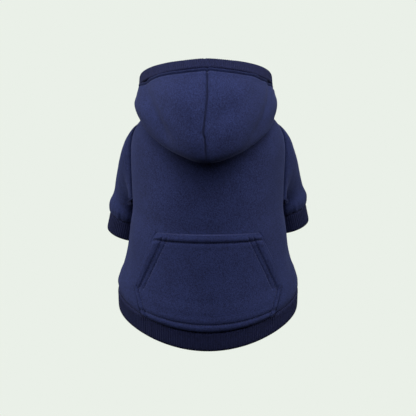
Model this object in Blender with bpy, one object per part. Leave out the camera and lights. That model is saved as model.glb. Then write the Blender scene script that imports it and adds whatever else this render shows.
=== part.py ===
"""A small dog's pullover hoodie in sweatshirt fleece, hood down, in the shape that it has when worn.

Metres, +Z up. The origin is the middle of the neck seam, where the garment sits round the neck.
-Y is the dog's back, +Y its belly, +Z the way to its head, +X its right flank.

Places on the garment are given on the cloth itself: around, in degrees from the middle of the back
(180 is the middle of the belly, and the right flank is positive), along, from 0 at the neck seam to
1 at the hem seam, and out, in metres off the cloth, sideways.
"""

import math
from collections import namedtuple

import bmesh
import bpy
import numpy as np

# Body, in metres. Widths run from flank to flank, depths from back to belly.
BACK_LENGTH = 0.2418
SIDE_LENGTH = 0.2018
BELLY_LENGTH = 0.162
NECK_WIDTH = 0.104
NECK_DEPTH = 0.098
NECK_TILT = 0.016
CHEST_WIDTH = 0.167
CHEST_DEPTH = 0.147
HEM_WIDTH = 0.1995
HEM_DEPTH = 0.168

# Cloth: brushed fleece in one layer, and rib knit folded double.
CLOTH = 0.0026
RIB_CLOTH = 0.0040
SEAM_GAP = 0.0003

# Side seams and armholes.
SIDE_SEAM_AT = 94.0
ARMHOLE_TOP = 0.022
ARMHOLE_HEIGHT = 0.084
ARMHOLE_REACH = 0.076

# Sleeves and cuffs. Spread is sideways, forward is towards the belly, drop is below the neck seam.
CUFF_SPREAD = 0.0885
CUFF_FORWARD = 0.074
CUFF_DROP = 0.1335
SLEEVE_SWING_OUT = 14.0
SLEEVE_SWING_FORWARD = 12.0
CUFF_WIDTH = 0.050
CUFF_HEIGHT = 0.0225
SLEEVE_BLOUSE = 0.0030
RIGHT_SLEEVE_LIFT = 0.009

# Hood, lying on the back. It hangs a little askew: turned to the right, and shifted to the left. Rim
# stand is how far the rim turns upright at the flanks, from 0, on with the hood's cloth, to 1.
HOOD_WIDTH = 0.1535
HOOD_BACK = 0.103
HOOD_HEIGHT = 0.100
HOOD_CREST = 0.007
HOOD_CLEARANCE = 0.0015
HOOD_TURN = 0.6
HOOD_SHIFT = 0.0026
RIM_HEIGHT = 0.0118
RIM_STAND = 0.9

# Hem band.
HEM_BAND_HEIGHT = 0.0205

# Pouch pocket on the back. Widths are measured round the cloth.
POCKET_HEIGHT = 0.100
POCKET_TOP_WIDTH = 0.111
POCKET_WIDTH = 0.175
POCKET_FOOT_WIDTH = 0.147
POCKET_MOUTH_SHARE = 0.68
POCKET_LIFT = 0.0008
POCKET_MOUTH_GAPE = 0.0016

# The body from the neck seam to the hem seam. Each width and depth is a mix of the neck's, the chest's
# and the hem's, and forward is how far the section's middle lies towards the belly, of the chest's depth.
BodySection = namedtuple("BodySection", "along neck chest hem forward")
BODY_SECTIONS = (
    BodySection(0.00, 1.00, 0.00, 0.00, 0.00),
    BodySection(0.04, 0.66, 0.34, 0.00, 0.01),
    BodySection(0.08, 0.40, 0.60, 0.00, 0.02),
    BodySection(0.12, 0.20, 0.80, 0.00, 0.03),
    BodySection(0.18, 0.03, 0.97, 0.00, 0.04),
    BodySection(0.26, 0.00, 1.01, 0.00, 0.04),
    BodySection(0.40, 0.00, 1.00, 0.00, 0.04),
    BodySection(0.54, 0.00, 0.99, 0.00, 0.035),
    BodySection(0.67, 0.00, 0.86, 0.14, 0.03),
    BodySection(0.78, 0.00, 0.69, 0.31, 0.025),
    BodySection(0.87, 0.00, 0.43, 0.57, 0.02),
    BodySection(0.92, 0.00, 0.17, 0.83, 0.02),
    BodySection(0.96, 0.00, 0.06, 0.94, 0.02),
    BodySection(1.00, 0.00, 0.05, 0.95, 0.02),
)

# The hood's rings, in the order that the cloth takes from the fold that hangs lowest to the rim. Width
# is a share of the hood's, back of its reach down the back, and front of half the neck's depth.
HoodRing = namedtuple("HoodRing", "name width back front")
HOOD_RINGS = (
    HoodRing("fold", 0.97, 0.95, 1.06),
    HoodRing("swell", 1.00, 1.00, 1.10),
    HoodRing("turn", 0.96, 0.91, 1.13),
    HoodRing("rim", 0.905, 0.72, 1.14),
)

# The hood round the neck, from the middle of the back to the throat. Slack is 1 where the cloth folds
# back on itself and 0 where it stands straight up. Then the height of each ring, of the hood's height.
HoodSection = namedtuple("HoodSection", "around slack fold swell turn rim")
HOOD_SECTIONS = (
    HoodSection(0, 1.00, -0.550, -0.25, 0.14, 0.393),
    HoodSection(25, 1.00, -0.455, -0.17, 0.15, 0.364),
    HoodSection(45, 1.00, -0.315, -0.10, 0.15, 0.318),
    HoodSection(70, 1.00, -0.150, -0.03, 0.12, 0.242),
    HoodSection(90, 0.90, -0.050, 0.02, 0.09, 0.172),
    HoodSection(115, 0.40, 0.020, 0.03, 0.06, 0.105),
    HoodSection(145, 0.10, 0.000, 0.02, 0.04, 0.04),
    HoodSection(180, 0.00, -0.060, -0.05, -0.03, 0.00),
)

# A rib band across its height: how far its outer and inner faces stand from its middle, of its thickness.
BandSection = namedtuple("BandSection", "down outer inner")
BAND_SECTIONS = (
    BandSection(0.00, 0.30, -0.30),
    BandSection(0.12, 0.46, -0.42),
    BandSection(0.50, 0.60, -0.45),
    BandSection(0.86, 0.52, -0.42),
    BandSection(1.00, 0.22, -0.22),
)


def read_curve(where, values, at, level_ends=False):
    """A smooth curve through the values, which doesn't overshoot them, read at each place asked."""
    where, values, at = np.asarray(where, float), np.asarray(values, float), np.asarray(at, float)
    step = np.diff(where)
    slope = np.diff(values) / step
    before, after = slope[:-1], slope[1:]
    weight_a, weight_b = 2 * step[1:] + step[:-1], step[1:] + 2 * step[:-1]
    turning = before * after <= 0
    safe_before, safe_after = np.where(turning, 1.0, before), np.where(turning, 1.0, after)
    inner = (weight_a + weight_b) / (weight_a / safe_before + weight_b / safe_after)
    ends = (0.0, 0.0) if level_ends else (slope[0], slope[-1])
    tangent = np.concatenate([[ends[0]], np.where(turning, 0.0, inner), [ends[1]]])
    clipped = np.clip(at, where[0], where[-1])
    i = np.clip(np.searchsorted(where, clipped, side="right") - 1, 0, len(step) - 1)
    t = (clipped - where[i]) / step[i]
    start, end = values[i], values[i + 1]
    lift, fall = tangent[i] * step[i], tangent[i + 1] * step[i]
    smooth = t * t * (3 - 2 * t)
    return start + (end - start) * smooth + lift * t * (1 - t) ** 2 - fall * t * t * (1 - t)


def read_table(rows, column, at, level_ends=False):
    """One named column of a table, read as a smooth curve along the table's first column."""
    return read_curve([row[0] for row in rows], [getattr(row, column) for row in rows], at, level_ends)


def mix(a, b, share):
    return a + (b - a) * share


def length_at(around):
    """The body's length from neck seam to hem seam: longest down the back, shortest down the belly."""
    lean = np.cos(np.radians(around))
    back, belly = BACK_LENGTH - SIDE_LENGTH, SIDE_LENGTH - BELLY_LENGTH
    return SIDE_LENGTH + np.where(lean > 0, back, belly) * (0.74 * lean + 0.26 * lean**3)


def body_height(around, along):
    """Z on the body. Above the neck seam, where along is negative, it goes on at the same rate."""
    return NECK_TILT / 2 * np.cos(np.radians(around)) - along * length_at(around)


def body_point(around, along, out=0.0):
    """The point that lies out from the body's outer face, as an array of x, y, z."""
    around, along, out = np.broadcast_arrays(*(np.asarray(v, float) for v in (around, along, out)))
    neck, chest, hem, forward = (read_table(BODY_SECTIONS, c, along) for c in BodySection._fields[1:])
    half_width = (neck * NECK_WIDTH + chest * CHEST_WIDTH + hem * HEM_WIDTH) / 2
    half_depth = (neck * NECK_DEPTH + chest * CHEST_DEPTH + hem * HEM_DEPTH) / 2
    angle = np.radians(around)
    away = np.stack([np.sin(angle) / half_width, -np.cos(angle) / half_depth], axis=-1)
    away /= np.linalg.norm(away, axis=-1, keepdims=True)
    x = half_width * np.sin(angle) + out * away[..., 0]
    y = forward * CHEST_DEPTH - half_depth * np.cos(angle) + out * away[..., 1]
    return np.stack([x, y, body_height(around, along)], axis=-1)


def along_at_height(around, z):
    """The along of the body's cloth at height z."""
    return (NECK_TILT / 2 * np.cos(np.radians(around)) - z) / length_at(around)


def around_at_distance(distance, along):
    """How many degrees round the body lies a distance measured on the cloth from the middle of the back."""
    steps = np.linspace(0, 180, 181)
    ring = body_point(steps, along)
    walked = np.concatenate([[0], np.cumsum(np.linalg.norm(np.diff(ring, axis=0), axis=1))])
    return math.copysign(float(np.interp(abs(distance), walked, steps)), distance)


def body_normal(around, along):
    """The unit vector out of the cloth."""
    small_turn, small_step = 0.5, 0.005
    across = body_point(around + small_turn, along) - body_point(around - small_turn, along)
    down = body_point(around, along + small_step) - body_point(around, along - small_step)
    normal = np.cross(down, across)
    return normal / np.linalg.norm(normal, axis=-1, keepdims=True)


def material(name, colour, roughness):
    made = bpy.data.materials.get(name) or bpy.data.materials.new(name)
    made.use_nodes = True
    shader = made.node_tree.nodes["Principled BSDF"]
    shader.inputs["Base Color"].default_value = (*colour, 1.0)
    shader.inputs["Roughness"].default_value = roughness
    shader.inputs["Metallic"].default_value = 0.0
    return made


def fleece():
    return material("navy_fleece", (0.019, 0.024, 0.080), 0.95)


def rib_knit():
    return material("navy_rib_knit", (0.014, 0.018, 0.062), 0.90)


def loft(name, rows, finish, round_rows=False, round_columns=False, cap_ends=False):
    """One object over a grid of points. A round direction joins its end to its start."""
    height, width = len(rows), len(rows[0])
    mesh = bmesh.new()
    points = [[mesh.verts.new(point) for point in row] for row in rows]
    for i in range(height if round_rows else height - 1):
        for j in range(width if round_columns else width - 1):
            i2, j2 = (i + 1) % height, (j + 1) % width
            mesh.faces.new((points[i][j], points[i2][j], points[i2][j2], points[i][j2]))
    if cap_ends:
        mesh.faces.new(points[0])
        mesh.faces.new(points[-1][::-1])
    data = bpy.data.meshes.new(name)
    mesh.to_mesh(data)
    mesh.free()
    data.shade_smooth()
    data.set_sharp_from_angle(angle=math.radians(40))
    data.materials.append(finish)
    made = bpy.data.objects.new(name, data)
    bpy.context.scene.collection.objects.link(made)
    return made


def cloth_panel(name, rows, finish, side_out, round_columns=False):
    """A panel of cloth over a grid of points: its outer face if side_out is 1, its middle if it is 0."""
    made = loft(name, rows, finish, round_columns=round_columns)
    wall = made.modifiers.new("Cloth", "SOLIDIFY")
    wall.thickness = CLOTH
    wall.offset = -side_out
    return made


def clear_scene():
    for obj in list(bpy.data.objects):
        bpy.data.objects.remove(obj)


def body_rows():
    """The rows of points down the body, close together where the neck flares, and round the armholes."""
    top, height = ARMHOLE_TOP / SIDE_LENGTH, ARMHOLE_HEIGHT / SIDE_LENGTH
    armhole = top + height * (1 - np.cos(np.linspace(0, math.pi, 11))) / 2
    return np.concatenate([np.linspace(0, top, 4)[:-1], armhole, np.linspace(armhole[-1], 1.0, 8)[1:]])


def back_panel():
    """The whole back, from side seam to side seam."""
    edge = SIDE_SEAM_AT - math.degrees(3 * SEAM_GAP / CHEST_WIDTH)
    around = np.linspace(-edge, edge, 25)
    return cloth_panel("back_panel", body_point(around, body_rows()[:, None]), fleece(), 1)


def armhole_edge(along):
    """How far round the belly panel's edge lies: at the side seam, and further round beside the armhole."""
    top, height = ARMHOLE_TOP / SIDE_LENGTH, ARMHOLE_HEIGHT / SIDE_LENGTH
    reach = math.degrees(ARMHOLE_REACH / ((CHEST_WIDTH + CHEST_DEPTH) / 4))
    off_middle = np.clip((np.asarray(along, float) - top) / height * 2 - 1, -1, 1)
    return SIDE_SEAM_AT + reach * np.sqrt(1 - off_middle**2)


def belly_panel():
    """The belly, from side seam to side seam, cut away for the two armholes."""
    along = body_rows()
    across = np.linspace(0, 1, 19)
    edge = armhole_edge(along) + math.degrees(3 * SEAM_GAP / CHEST_WIDTH)
    around = mix(edge[:, None], 360 - edge[:, None], across[None, :])
    return cloth_panel("belly_panel", body_point(around, along[:, None]), fleece(), 1)


def armhole_loop(count):
    """The right armhole as (around, along): from its top by the belly side to the armpit, then back up."""
    top, height = ARMHOLE_TOP / SIDE_LENGTH, ARMHOLE_HEIGHT / SIDE_LENGTH
    turn = np.linspace(0, 2 * math.pi, count, endpoint=False)
    along = top + height * (1 - np.cos(turn)) / 2
    return np.where(turn < math.pi, armhole_edge(along), SIDE_SEAM_AT), along


def sleeve_frame(side):
    """The cuff seam's middle, the way the sleeve points, and the two directions across it."""
    lift = RIGHT_SLEEVE_LIFT if side > 0 else 0.0
    middle = np.array([CUFF_SPREAD, CUFF_FORWARD, lift - CUFF_DROP])
    out, forward = math.tan(math.radians(SLEEVE_SWING_OUT)), math.tan(math.radians(SLEEVE_SWING_FORWARD))
    point = np.array([out, forward, -1.0])
    point /= np.linalg.norm(point)
    outer = np.array([1.0, 0.0, 0.0]) - point[0] * point
    outer /= np.linalg.norm(outer)
    return middle, point, outer, np.cross(outer, point)


def ring(middle, first, second, radius, count):
    turn = np.linspace(0, 2 * math.pi, count, endpoint=False)[:, None]
    return middle + radius * (np.cos(turn) * first + np.sin(turn) * second)


def mirror(rows, side):
    """The rows as they are for the right side, and mirrored with the same face out for the left."""
    return rows if side > 0 else (rows * np.array([-1.0, 1.0, 1.0]))[:, ::-1]


def sleeve(side, name):
    """A sleeve from the armhole to the cuff seam, bloused over the cuff."""
    count = 20
    around, along = armhole_loop(count)
    start = body_point(around, along) + body_normal(around, along) * 2 * SEAM_GAP
    inwards = start.mean(axis=0) - start
    start = start + inwards * (SEAM_GAP / np.linalg.norm(inwards, axis=1))[:, None]
    middle, point, outer, front = sleeve_frame(side)
    end = ring(middle, outer, front, CUFF_WIDTH / 2 + 0.4 * CLOTH, count)
    reach = np.linalg.norm(end - start, axis=1)[:, None]
    armpit = (1 - np.cos(np.linspace(0, 2 * math.pi, count, endpoint=False)))[:, None] / 2
    away = mix(point, body_normal(around, along), mix(0.42, 0.60, armpit))
    leave, arrive = 0.40 * reach * away, 0.35 * reach * point
    rows = []
    for t in np.linspace(0, 1, 11):
        row = start * (1 - t) ** 3 + 3 * (start + leave) * t * (1 - t) ** 2
        row = row + 3 * (end - arrive) * t * t * (1 - t) + end * t**3
        blouse = SLEEVE_BLOUSE * math.exp(-(((t - 0.92) / 0.07) ** 2))
        rows.append(row + (row - row.mean(axis=0)) * blouse / (CUFF_WIDTH / 2))
    return cloth_panel(name, mirror(np.array(rows), side), fleece(), 1, round_columns=True)


def band(name, seam, down, out, height, is_round):
    """A rib band: a padded section carried along the seam that it hangs from."""
    outer = [(row.down, row.outer) for row in BAND_SECTIONS]
    inner = [(row.down, row.inner) for row in reversed(BAND_SECTIONS)]
    sections = [seam + down * (SEAM_GAP + d * height) + out * RIB_CLOTH * (o - 0.5) for d, o in outer + inner]
    rows = np.array(sections).transpose(1, 0, 2)
    return loft(name, rows, rib_knit(), is_round, True, not is_round)


def hem_band():
    around = np.linspace(360, 0, 48, endpoint=False)
    seam = body_point(around, 1.0)
    out = body_point(around, 1.0, 1.0) - seam
    down = np.array([0.0, 0.0, -1.0])
    return band("hem_band", seam + down * SEAM_GAP, down, out, HEM_BAND_HEIGHT, True)


def cuff(side, name):
    middle, point, outer, front = sleeve_frame(side)
    seam = ring(middle, outer, front, CUFF_WIDTH / 2, 20)
    mirrored = np.array([1.0 if side > 0 else -1.0, 1.0, 1.0])
    seam, middle, point = seam * mirrored, middle * mirrored, point * mirrored
    if side > 0:
        seam = seam[::-1]
    return band(name, seam, point, (seam - middle) / (CUFF_WIDTH / 2), CUFF_HEIGHT, True)


def hood_ring(row, around):
    """Where one of the hood's rings lies at one place round the neck."""
    angle = math.radians(around)
    height = float(read_table(HOOD_SECTIONS, row.name, abs(around), True)) * HOOD_HEIGHT
    depth = row.back * HOOD_BACK if math.cos(angle) > 0 else row.front * NECK_DEPTH / 2
    return np.array([row.width * HOOD_WIDTH / 2 * math.sin(angle), -depth * math.cos(angle), height])


def smooth_line(points, shares):
    """A smooth line through the points, read at shares of its length."""
    gaps = np.sqrt(np.linalg.norm(np.diff(points, axis=0), axis=1))
    where = np.concatenate([[0], np.cumsum(gaps)])
    where = np.concatenate([[-gaps[0]], where, [where[-1] + gaps[-1]]])
    padded = np.vstack([2 * points[0] - points[1], points, 2 * points[-1] - points[-2]])
    fine = []
    for i in range(1, len(padded) - 2):
        t = np.linspace(where[i], where[i + 1], 12, endpoint=False)[:, None]
        knots, line = where[i - 1 : i + 3], padded[i - 1 : i + 3]
        first = [mix(line[k], line[k + 1], (t - knots[k]) / (knots[k + 1] - knots[k])) for k in range(3)]
        second = [mix(first[k], first[k + 1], (t - knots[k]) / (knots[k + 2] - knots[k])) for k in range(2)]
        fine.append(mix(second[0], second[1], (t - knots[1]) / (knots[2] - knots[1])))
    fine = np.vstack([*fine, points[-1:]])
    walked = np.concatenate([[0], np.cumsum(np.linalg.norm(np.diff(fine, axis=0), axis=1))])
    return np.stack([np.interp(shares * walked[-1], walked, fine[:, k]) for k in range(3)], axis=1)


def lying_on_back(around, height):
    """The middle of cloth that lies on the body at one height."""
    along = along_at_height(around, height)
    return body_point(around, along) + body_normal(around, along) * (HOOD_CLEARANCE + CLOTH / 2)


def hood_line(around):
    """The middle of the hood's cloth at one place round the neck, from the neck seam to the rim seam."""
    shares = np.linspace(0, 1, 20) ** 1.35
    slack = float(read_table(HOOD_SECTIONS, "slack", abs(around), True))
    fold, *outer = (hood_ring(row, around) for row in HOOD_RINGS)
    seam = body_point(around, 0.0, -CLOTH / 2) + [0, 0, 3 * SEAM_GAP]
    crest = body_point(around, 0.0) + [0, 0, HOOD_CREST]
    under = [lying_on_back(around, z) for z in mix(seam[2], fold[2], np.array([0.15, 0.50, 0.85]))]
    bottom = mix(lying_on_back(around, fold[2]), fold, 0.45)
    fold = fold + [0, 0, 0.14 * (outer[0][2] - fold[2])]
    folded = np.array([seam, crest, *under, bottom, fold, *outer])
    up = np.linspace(0, 1, len(folded))[:, None]
    straight = mix(folded[0], folded[-1], np.hstack([up**1.8, up**1.8, up]))
    line = smooth_line(mix(straight, folded, slack), shares)
    loose = np.interp(shares, [0.4, 0.7], [0, slack])
    line[:, 2] += loose * line[:, 0] * math.tan(math.radians(HOOD_TURN))
    line[:, 0] -= loose * HOOD_SHIFT
    return line


def hood_columns():
    return np.concatenate([[0, 3, 8], np.linspace(16, 172, 14), [180]])


def hood_panel(side, name):
    """Half of the hood, from the middle of the back round to the throat."""
    columns = hood_columns()
    rows = np.array([hood_line(side * around) for around in columns])
    middle = np.array([hood_line(around)[:, 0] for around in (0, 180)])
    rows[0, :, 0] = middle[0] + side * SEAM_GAP
    rows[-1, :, 0] = middle[1] + side * SEAM_GAP
    return cloth_panel(name, rows if side > 0 else rows[::-1], fleece(), 0)


def hood_rim():
    """The ribbed edge of the hood, which goes on from the hood's cloth. Its ends meet at the throat."""
    columns = hood_columns()
    around = np.concatenate([-columns[:0:-1], columns])
    lines = np.array([hood_line(a) for a in around])
    seam = lines[:, -1]
    seam[0, 0], seam[-1, 0] = -SEAM_GAP, SEAM_GAP
    up = seam - lines[:, -2]
    up /= np.linalg.norm(up, axis=1)[:, None]
    up = mix(up, np.array([0.0, 0.0, 1.0]), RIM_STAND * np.sin(np.radians(around))[:, None] ** 2)
    up /= np.linalg.norm(up, axis=1)[:, None]
    run = np.gradient(seam, axis=0)
    out = np.cross(run, up)
    out /= np.linalg.norm(out, axis=1)[:, None]
    return band("hood_rim", seam + up * 3 * SEAM_GAP + out * RIB_CLOTH / 2, up, out, RIM_HEIGHT, False)


def pocket():
    """The pouch on the back: its mouths slant down the sides, and its foot follows the hem seam."""
    mouth, foot = np.linspace(0, POCKET_MOUTH_SHARE, 9), np.linspace(POCKET_MOUTH_SHARE, 1, 5)
    shares = np.concatenate([mouth[:-1], foot])
    corners = [POCKET_TOP_WIDTH, POCKET_WIDTH, POCKET_FOOT_WIDTH]
    widths = np.interp(shares, [0, POCKET_MOUTH_SHARE, 1], corners)
    top = float(body_height(0, 1)) + POCKET_HEIGHT
    across = np.linspace(-1, 1, 25)
    foot_gap = 2 * SEAM_GAP
    rows = []
    for share, width in zip(shares, widths):
        row = []
        for c in across:
            around = around_at_distance(c * width / 2, mix(0.6, 1.0, share))
            height = mix(top, float(body_height(around, 1)) + foot_gap, share)
            gape = POCKET_MOUTH_GAPE * abs(c) ** 6 * math.sin(math.pi * min(1, share / POCKET_MOUTH_SHARE))
            row.append(body_point(around, along_at_height(around, height), POCKET_LIFT + CLOTH / 2 + gape))
        rows.append(row)
    return cloth_panel("pocket", np.array(rows), fleece(), 0)


def build():
    clear_scene()
    back_panel()
    belly_panel()
    hem_band()
    pocket()
    for side, word in ((1, "right"), (-1, "left")):
        sleeve(side, f"{word}_sleeve")
        cuff(side, f"{word}_cuff")
        hood_panel(side, f"hood_{word}_panel")
    hood_rim()


build()
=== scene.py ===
"""The dog hoodie as sewn: fleece panels, rib bands and stitch lines over the frame, with its light and camera.

Metres, as in the frame: -Y is the dog's back, +Y its belly, +Z the way to its head, +X its right flank.
Places on the garment are given on the cloth itself: around, in degrees from the middle of the back
(180 is the middle of the belly, and the right flank is positive), along, from 0 at the neck seam to
1 at the hem seam, and out, in metres off the cloth.
"""

import math
from collections import namedtuple

import bpy
import numpy as np
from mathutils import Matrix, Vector


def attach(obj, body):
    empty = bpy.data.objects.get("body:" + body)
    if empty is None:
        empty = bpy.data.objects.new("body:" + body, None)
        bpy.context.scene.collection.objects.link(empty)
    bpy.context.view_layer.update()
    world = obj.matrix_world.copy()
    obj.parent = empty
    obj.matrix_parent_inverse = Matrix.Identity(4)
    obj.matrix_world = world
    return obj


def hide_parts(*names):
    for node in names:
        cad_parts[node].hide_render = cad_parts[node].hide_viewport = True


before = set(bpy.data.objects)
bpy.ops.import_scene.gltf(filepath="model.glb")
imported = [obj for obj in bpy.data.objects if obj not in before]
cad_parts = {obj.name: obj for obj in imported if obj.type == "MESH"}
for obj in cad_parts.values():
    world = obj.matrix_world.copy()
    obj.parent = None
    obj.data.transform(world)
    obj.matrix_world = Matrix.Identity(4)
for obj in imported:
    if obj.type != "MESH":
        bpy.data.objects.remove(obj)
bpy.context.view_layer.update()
MM = 0.001

# Body, in metres. Widths run from flank to flank, depths from back to belly.
BACK_LENGTH = 0.2418
SIDE_LENGTH = 0.2018
BELLY_LENGTH = 0.162
NECK_WIDTH = 0.104
NECK_DEPTH = 0.098
NECK_TILT = 0.016
CHEST_WIDTH = 0.167
CHEST_DEPTH = 0.147
HEM_WIDTH = 0.1995
HEM_DEPTH = 0.168

# Cloth: brushed fleece in one layer, and rib knit folded double.
CLOTH = 0.0026
RIB_CLOTH = 0.0040
SEAM_GAP = 0.0003

# Side seams and armholes.
SIDE_SEAM_AT = 94.0
ARMHOLE_TOP = 0.022
ARMHOLE_HEIGHT = 0.084
ARMHOLE_REACH = 0.076

# Sleeves and cuffs. Spread is sideways, forward is towards the belly, drop is below the neck seam.
CUFF_SPREAD = 0.0885
CUFF_FORWARD = 0.074
CUFF_DROP = 0.1335
SLEEVE_SWING_OUT = 14.0
SLEEVE_SWING_FORWARD = 12.0
CUFF_WIDTH = 0.050
CUFF_HEIGHT = 0.0225
SLEEVE_BLOUSE = 0.0030
RIGHT_SLEEVE_LIFT = 0.009

# Hood, lying on the back. It hangs a little askew: turned to the right, and shifted to the left.
HOOD_WIDTH = 0.1535
HOOD_BACK = 0.103
HOOD_HEIGHT = 0.100
HOOD_CREST = 0.007
HOOD_CLEARANCE = 0.0015
HOOD_TURN = 0.6
HOOD_SHIFT = 0.0026
RIM_HEIGHT = 0.0118
RIM_STAND = 0.9

# Hem band.
HEM_BAND_HEIGHT = 0.0205

# Pouch pocket on the back. Widths are measured round the cloth.
POCKET_HEIGHT = 0.100
POCKET_TOP_WIDTH = 0.111
POCKET_WIDTH = 0.175
POCKET_FOOT_WIDTH = 0.147
POCKET_MOUTH_SHARE = 0.68
POCKET_LIFT = 0.0008
POCKET_MOUTH_GAPE = 0.0016

# Sewing. Ribs are 2.6 mm apart on the hem band, and finer where the knit is stretched less.
HEM_RIB = 2.65 * MM
CUFF_RIB = 2.45 * MM
RIM_RIB = 2.25 * MM
RIB_RELIEF = 0.95 * MM
RIM_TUCK = 1.0 * MM
STITCH_PITCH = 2.8 * MM
STITCH_LENGTH = 2.1 * MM
THREAD = 0.42 * MM
ALLOWANCE_WIDTH = 7.0 * MM
ALLOWANCE_THICKNESS = 1.9 * MM
OVERLOCK_PITCH = 2.4 * MM

# Lines of stitches, from the edge or the seam that they run beside.
HOOD_STITCH = 4.2 * MM
HOOD_SEAM_GAP = 0.06 * MM
POCKET_TOP_STITCH = 7.6 * MM
POCKET_FOOT_STITCH = 7.2 * MM
POCKET_SIDE_STITCH = 5.4 * MM
MOUTH_STITCHES = (9.0 * MM, 13.8 * MM)
POCKET_EDGE_DITCH = 2.4 * MM

# The body from the neck seam to the hem seam. Each width and depth is a mix of the neck's, the chest's
# and the hem's, and forward is how far the section's middle lies towards the belly, of the chest's depth.
BodySection = namedtuple("BodySection", "along neck chest hem forward")
BODY_SECTIONS = (
    BodySection(0.00, 1.00, 0.00, 0.00, 0.00),
    BodySection(0.04, 0.66, 0.34, 0.00, 0.01),
    BodySection(0.08, 0.40, 0.60, 0.00, 0.02),
    BodySection(0.12, 0.20, 0.80, 0.00, 0.03),
    BodySection(0.18, 0.03, 0.97, 0.00, 0.04),
    BodySection(0.26, 0.00, 1.01, 0.00, 0.04),
    BodySection(0.40, 0.00, 1.00, 0.00, 0.04),
    BodySection(0.54, 0.00, 0.99, 0.00, 0.035),
    BodySection(0.67, 0.00, 0.86, 0.14, 0.03),
    BodySection(0.78, 0.00, 0.69, 0.31, 0.025),
    BodySection(0.87, 0.00, 0.43, 0.57, 0.02),
    BodySection(0.92, 0.00, 0.17, 0.83, 0.02),
    BodySection(0.96, 0.00, 0.06, 0.94, 0.02),
    BodySection(1.00, 0.00, 0.05, 0.95, 0.02),
)

# The hood's rings, in the order that the cloth takes from the fold that hangs lowest to the rim. Width
# is a share of the hood's, back of its reach down the back, and front of half the neck's depth.
HoodRing = namedtuple("HoodRing", "name width back front")
HOOD_RINGS = (
    HoodRing("fold", 0.97, 0.95, 1.06),
    HoodRing("swell", 1.00, 1.00, 1.10),
    HoodRing("turn", 0.96, 0.91, 1.13),
    HoodRing("rim", 0.905, 0.72, 1.14),
)

# The hood round the neck, from the middle of the back to the throat. Slack is 1 where the cloth folds
# back on itself and 0 where it stands straight up. Then the height of each ring, of the hood's height.
HoodSection = namedtuple("HoodSection", "around slack fold swell turn rim")
HOOD_SECTIONS = (
    HoodSection(0, 1.00, -0.550, -0.25, 0.14, 0.393),
    HoodSection(25, 1.00, -0.455, -0.17, 0.15, 0.364),
    HoodSection(45, 1.00, -0.315, -0.10, 0.15, 0.318),
    HoodSection(70, 1.00, -0.150, -0.03, 0.12, 0.242),
    HoodSection(90, 0.90, -0.050, 0.02, 0.09, 0.172),
    HoodSection(115, 0.40, 0.020, 0.03, 0.06, 0.105),
    HoodSection(145, 0.10, 0.000, 0.02, 0.04, 0.04),
    HoodSection(180, 0.00, -0.060, -0.05, -0.03, 0.00),
)

# A rib band across its height, which is folded double at its free edge: how far its outer and inner faces
# stand from its middle, of its thickness.
BandSection = namedtuple("BandSection", "down outer inner")
BAND_SECTIONS = (
    BandSection(0.00, 0.22, -0.20),
    BandSection(0.03, 0.50, -0.34),
    BandSection(0.08, 0.66, -0.40),
    BandSection(0.16, 0.68, -0.42),
    BandSection(0.30, 0.64, -0.45),
    BandSection(0.50, 0.62, -0.45),
    BandSection(0.72, 0.60, -0.45),
    BandSection(0.86, 0.54, -0.42),
    BandSection(0.94, 0.42, -0.36),
    BandSection(0.985, 0.24, -0.22),
    BandSection(1.00, 0.04, -0.04),
)

# Soft hollows and swells that the cloth has where it hangs free. Size is the reach of one in metres
# each way, round the cloth and down it, and depth is negative for a hollow.
Dent = namedtuple("Dent", "around at size_round size_down depth")
BACK_DENTS = (
    Dent(-62, 0.50, 0.026, 0.050, -0.0016),
    Dent(60, 0.52, 0.024, 0.055, -0.0014),
    Dent(-20, 0.42, 0.040, 0.030, 0.0012),
    Dent(24, 0.58, 0.045, 0.022, 0.0010),
    Dent(-80, 0.80, 0.014, 0.030, -0.0012),
    Dent(82, 0.82, 0.013, 0.028, -0.0012),
)
HOOD_DENTS = (
    Dent(-42, 0.66, 0.020, 0.014, -0.0062),
    Dent(-22, 0.80, 0.022, 0.014, 0.0030),
    Dent(30, 0.84, 0.020, 0.012, 0.0020),
    Dent(16, 0.74, 0.013, 0.012, -0.0042),
    Dent(50, 0.63, 0.022, 0.011, -0.0036),
    Dent(-66, 0.78, 0.016, 0.014, 0.0014),
    Dent(-10, 0.60, 0.012, 0.012, 0.0016),
)

# How far the hood's centre seam wanders to the right as it runs up, from the hood's fold to its rim.
SeamWander = namedtuple("SeamWander", "at right")
CENTRE_SEAM = (
    SeamWander(0.45, -0.0012),
    SeamWander(0.57, -0.0011),
    SeamWander(0.61, -0.0014),
    SeamWander(0.64, -0.0028),
    SeamWander(0.67, -0.0020),
    SeamWander(0.76, 0.0004),
    SeamWander(0.82, 0.0016),
    SeamWander(1.00, 0.0020),
)

# The fields for a piece of cloth as it was cut, or as the folded band is, before it was sewn in; no piece is given one
# here.
Cut = namedtuple("Cut", "piece width length area held lies_on")


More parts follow.
